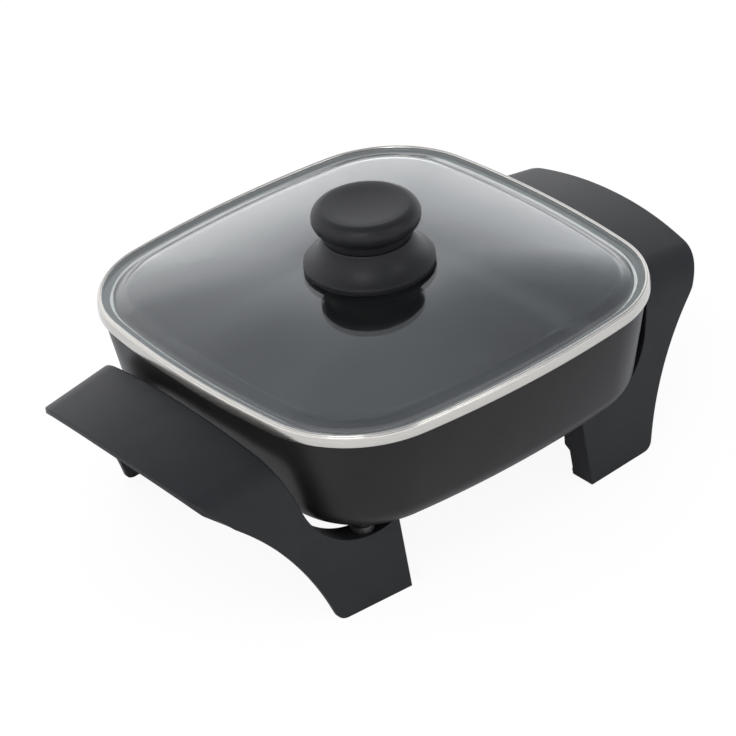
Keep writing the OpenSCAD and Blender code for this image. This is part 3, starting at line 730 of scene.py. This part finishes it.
def add_pad(bm, side):
    """The round pad under a ledge, with the screw's hole."""
    low_chamfer, high_chamfer = 0.4, 0.3
    low = LEDGE_Z - PAD_HEIGHT
    profile = [(PAD_BORE, low), (PAD_RADIUS - low_chamfer, low), (PAD_RADIUS, low + low_chamfer),
               (PAD_RADIUS, LEDGE_Z - high_chamfer), (PAD_RADIUS - high_chamfer, LEDGE_Z),
               (PAD_BORE, LEDGE_Z)]
    pad = bmesh.new()
    lathe(pad, profile, 48)
    bmesh.ops.translate(pad, vec=(SCREW[0], side * SCREW[1], 0), verts=pad.verts)
    mesh = bpy.data.meshes.new("pad")
    pad.to_mesh(mesh)
    pad.free()
    bm.from_mesh(mesh)
    bpy.data.meshes.remove(mesh)


def make_handle(name, node, end, mat):
    """A handle with its two legs. The end is 1 for the right one and -1 for the left one."""
    sharp_angle = 40
    bm = bmesh.new()
    add_plate(bm)
    add_walls(bm)
    for side in (-1, 1):
        add_foot_floor(bm, side)
        add_side_wall(bm, side)
        add_pad(bm, side)
    bmesh.ops.scale(bm, vec=(end, 1, 1), verts=bm.verts)
    obj = piece(name, bm, "base", mat, node)
    obj.data.set_sharp_from_angle(angle=math.radians(sharp_angle))


# ---------------------------------------------------------------- materials

def noise(nodes, links, scale, detail=3.0, stretch=(1, 1, 1)):
    """A noise over the object's own coordinates, with its features per metre."""
    coords = nodes.new("ShaderNodeTexCoord")
    mapping = nodes.new("ShaderNodeMapping")
    mapping.inputs["Scale"].default_value = stretch
    texture = nodes.new("ShaderNodeTexNoise")
    texture.inputs["Scale"].default_value = scale
    texture.inputs["Detail"].default_value = detail
    links.new(coords.outputs["Object"], mapping.inputs["Vector"])
    links.new(mapping.outputs["Vector"], texture.inputs["Vector"])
    return texture.outputs["Fac"]


def spread(nodes, links, value, low, high):
    """Maps a noise's middle range to a range of values."""
    noise_low, noise_high = 0.3, 0.7
    node = nodes.new("ShaderNodeMapRange")
    node.inputs["From Min"].default_value = noise_low
    node.inputs["From Max"].default_value = noise_high
    node.inputs["To Min"].default_value = low
    node.inputs["To Max"].default_value = high
    links.new(value, node.inputs["Value"])
    return node.outputs["Result"]


def material(name, colour, roughness, metallic=0.0, patch=(30, 0.12), grain=(1500, 0.05),
             stretch=(1, 1, 1), roughness_range=0.05, specular=0.5):
    """A surface with soft patches of colour, uneven gloss and a fine grain.

    patch is the patches' features per metre and how far their colour varies. grain is the
    grain's features per metre and its bump strength.
    """
    bump_height = 0.0002
    mat = bpy.data.materials.new(name)
    mat.use_nodes = True
    nodes, links = mat.node_tree.nodes, mat.node_tree.links
    bsdf = nodes["Principled BSDF"]
    bsdf.inputs["Metallic"].default_value = metallic
    bsdf.inputs["Specular IOR Level"].default_value = specular
    patches = noise(nodes, links, patch[0], stretch=stretch)
    mix = nodes.new("ShaderNodeMix")
    mix.data_type = "RGBA"
    mix.inputs["A"].default_value = (*[c * (1 - patch[1]) for c in colour], 1)
    mix.inputs["B"].default_value = (*[min(c * (1 + patch[1]), 1) for c in colour], 1)
    links.new(spread(nodes, links, patches, 0, 1), mix.inputs["Factor"])
    links.new(mix.outputs["Result"], bsdf.inputs["Base Color"])
    fine = noise(nodes, links, grain[0], 2.0, stretch)
    gloss = spread(nodes, links, fine, roughness - roughness_range, roughness + roughness_range)
    links.new(gloss, bsdf.inputs["Roughness"])
    bump = nodes.new("ShaderNodeBump")
    bump.inputs["Strength"].default_value = grain[1]
    bump.inputs["Distance"].default_value = bump_height
    links.new(fine, bump.inputs["Height"])
    links.new(bump.outputs["Normal"], bsdf.inputs["Normal"])
    return mat


def glass_material():
    """Clear glass, faintly blue-green and almost perfectly smooth."""
    mat = material("clear_glass", (0.90, 0.95, 0.95), 0.012, patch=(20, 0.01), grain=(40, 0.0),
                   roughness_range=0.004)
    bsdf = mat.node_tree.nodes["Principled BSDF"]
    bsdf.inputs["Transmission Weight"].default_value = 1.0
    bsdf.inputs["IOR"].default_value = 1.5
    return mat


def paint(node, mat):
    """Gives a CAD node its material."""
    obj = NODES[node]
    obj.data.materials.clear()
    obj.data.materials.append(mat)


# ---------------------------------------------------------------- camera, light and stage

def make_camera():
    """The camera of the photograph, solved from the lid, the feet and the handles."""
    azimuth = math.radians(-37.014)
    elevation = math.radians(32.627)
    roll = -0.0895
    place = (-0.8674, -1.1370, 0.9687)
    image = 736
    focal_px = 3685.9
    centre_px = (-6.56, 1.28)
    sensor = 36
    back = Vector((math.sin(azimuth) * math.cos(elevation),
                   -math.cos(azimuth) * math.cos(elevation),
                   math.sin(elevation)))
    right = Vector((math.cos(azimuth), math.sin(azimuth), 0))
    up = back.cross(right)
    across = right * math.cos(roll) + up * math.sin(roll)
    upward = up * math.cos(roll) - right * math.sin(roll)
    camera = bpy.data.objects.new("camera", bpy.data.cameras.new("camera"))
    bpy.context.scene.collection.objects.link(camera)
    turn = Matrix((across, upward, back)).transposed().to_4x4()
    camera.matrix_world = Matrix.Translation(place) @ turn
    camera.data.sensor_width = sensor
    camera.data.lens = sensor * focal_px / image
    camera.data.shift_x = -centre_px[0] / image
    camera.data.shift_y = centre_px[1] / image
    camera.data.clip_start = 0.05
    camera.data.clip_end = 20
    bpy.context.scene.camera = camera


def make_world():
    """A white studio that darkens overhead, sooner on the right and at the front."""
    tilt = (0.30, -0.225, 1.0)
    world = bpy.data.worlds.new("studio")
    bpy.context.scene.world = world
    world.use_nodes = True
    nodes, links = world.node_tree.nodes, world.node_tree.links
    coords = nodes.new("ShaderNodeTexCoord")
    height = nodes.new("ShaderNodeVectorMath")
    height.operation = "DOT_PRODUCT"
    height.inputs[1].default_value = tilt
    ramp = nodes.new("ShaderNodeValToRGB")
    links.new(coords.outputs["Generated"], height.inputs[0])
    links.new(height.outputs["Value"], ramp.inputs["Fac"])
    stops = [(0.0, (1.70, 1.70, 1.72)), (0.24, (1.92, 1.93, 1.98)), (0.42, (1.74, 1.76, 1.83)),
             (0.51, (1.40, 1.43, 1.49)), (0.60, (0.95, 0.98, 1.04)), (0.70, (0.77, 0.80, 0.86)),
             (1.0, (0.68, 0.70, 0.76))]
    elements = ramp.color_ramp.elements
    while len(elements) < len(stops):
        elements.new(0.5)
    for element, (place, colour) in zip(elements, stops):
        element.position = place
        element.color = (*colour, 1)
    links.new(ramp.outputs["Color"], nodes["Background"].inputs["Color"])
    nodes["Background"].inputs["Strength"].default_value = 1.0


def make_lamp(name, place, target, width, height, watts):
    """A flat lamp that faces a target, with all its lengths in metres."""
    light = bpy.data.lights.new(name, "AREA")
    light.shape = "RECTANGLE"
    light.size = width
    light.size_y = height
    light.energy = watts
    obj = bpy.data.objects.new(name, light)
    bpy.context.scene.collection.objects.link(obj)
    obj.location = place
    obj.rotation_euler = (Vector(target) - Vector(place)).to_track_quat("-Z", "Y").to_euler()


def floor_material():
    """Nearly white to the camera, also through the glass, with a faint part of the shadow.

    Reflections see mostly its plain surface.
    """
    white_share, mirrored_share = 0.92, 0.08
    mat = material("floor", (0.95, 0.95, 0.95), 0.7, patch=(3, 0.01), grain=(400, 0.02))
    nodes, links = mat.node_tree.nodes, mat.node_tree.links
    white = nodes.new("ShaderNodeEmission")
    path = nodes.new("ShaderNodeLightPath")
    clear = nodes.new("ShaderNodeMath")
    clear.operation = "MAXIMUM"
    links.new(path.outputs["Is Camera Ray"], clear.inputs[0])
    links.new(path.outputs["Is Transmission Ray"], clear.inputs[1])
    mirrored = nodes.new("ShaderNodeMath")
    mirrored.operation = "MULTIPLY"
    mirrored.inputs[1].default_value = mirrored_share
    links.new(path.outputs["Is Glossy Ray"], mirrored.inputs[0])
    share = nodes.new("ShaderNodeMath")
    share.operation = "MULTIPLY_ADD"
    share.inputs[1].default_value = white_share
    links.new(clear.outputs[0], share.inputs[0])
    links.new(mirrored.outputs[0], share.inputs[2])
    mix = nodes.new("ShaderNodeMixShader")
    links.new(share.outputs[0], mix.inputs["Fac"])
    links.new(nodes["Principled BSDF"].outputs[0], mix.inputs[1])
    links.new(white.outputs[0], mix.inputs[2])
    links.new(mix.outputs[0], nodes["Material Output"].inputs["Surface"])
    return mat


def make_stage():
    """The floor, which reaches far past the picture. Its size is in metres."""
    squares, size = 8, 4
    bm = bmesh.new()
    bmesh.ops.create_grid(bm, x_segments=squares, y_segments=squares, size=size)
    mesh = bpy.data.meshes.new("floor")
    bm.to_mesh(mesh)
    bm.free()
    floor = bpy.data.objects.new("floor", mesh)
    bpy.context.scene.collection.objects.link(floor)
    mesh.materials.append(floor_material())


make_camera()
make_world()
make_stage()
make_lamp("key", place=(-0.9, -0.6, 1.5), target=(0, 0, 0.08), width=0.7, height=0.7, watts=8)
make_lamp("fill", place=(0.6, -1.2, 1.1), target=(0, 0, 0.08), width=0.5, height=0.5, watts=3)

handle_plastic = material("handle_plastic", (0.008, 0.0084, 0.0095), 0.48, patch=(60, 0.15),
                          grain=(2500, 0.12), specular=0.23)
knob_plastic = material("knob_plastic", (0.007, 0.007, 0.008), 0.42, patch=(60, 0.15),
                        grain=(2500, 0.06), specular=0.2)
pan_coating = material("pan_coating", (0.008, 0.0075, 0.0075), 0.36, patch=(40, 0.15),
                       grain=(1200, 0.01), specular=0.19, roughness_range=0.012)
band_steel = material("band_steel", (0.45, 0.435, 0.405), 0.2, 1.0, patch=(120, 0.06),
                      grain=(250, 0.06), stretch=(1, 1, 16), roughness_range=0.06)
plated_steel = material("plated_steel", (0.66, 0.66, 0.64), 0.3, 1.0, patch=(200, 0.08),
                        grain=(2000, 0.05))
sheath = material("element_sheath", (0.42, 0.41, 0.39), 0.45, 1.0, patch=(150, 0.15),
                  grain=(1500, 0.1))
brass = material("turned_brass", (0.76, 0.60, 0.30), 0.25, 1.0, patch=(100, 0.08),
                 grain=(2000, 0.05))
silicone = material("dark_silicone", (0.035, 0.05, 0.043), 0.5, patch=(80, 0.12),
                    grain=(1200, 0.08))
ceramic = material("glazed_ceramic", (0.86, 0.83, 0.76), 0.2, patch=(120, 0.04),
                   grain=(800, 0.04))
dark_steel = material("dark_steel", (0.05, 0.05, 0.05), 0.4, 0.6, patch=(150, 0.1),
                      grain=(2000, 0.05))
clear_glass = glass_material()

# What each CAD node is made of
FINISHES = {
    plated_steel: ["terminal_pins", "guard_bracket", "guard_screws", "guard_nuts",
                   "bracket_screws", "left_handle_screws", "right_handle_screws",
                   "left_handle_washers", "right_handle_washers", "knob_washer", "knob_screw"],
    dark_steel: ["handle_spacers"],
    sheath: ["heating_element"],
    brass: ["probe_sleeve", "knob_insert"],
    silicone: ["knob_seal", "lid_gasket"],
    ceramic: ["terminal_insulators"],
    handle_plastic: ["socket_guard", "left_handle", "right_handle"],
    knob_plastic: ["knob_grip", "knob_base"],
    pan_coating: ["pan_body"],
    band_steel: ["lid_band"],
    clear_glass: ["lid_glass"],
}
for finish, names in FINISHES.items():
    for name in names:
        paint(name, finish)

make_pan(pan_coating)
make_ridge("pan_ridge", element_path(), RIDGE_RADIUS, pan_coating)
make_ridge("pan_probe_boss", [(PROBE_START, 0), (PROBE_MIDDLE, 0), (RIDGE_END, 0)],
           PROBE_BOSS_RADIUS, pan_coating)
make_bosses(pan_coating)
make_band(band_steel)
make_gasket(silicone)
make_glass(clear_glass)
make_knob_grip(knob_plastic)
make_knob_base(knob_plastic)
make_handle("left_moulding", "left_handle", -1, handle_plastic)
make_handle("right_moulding", "right_handle", 1, handle_plastic)

bpy.context.scene.view_settings.view_transform = "Standard"
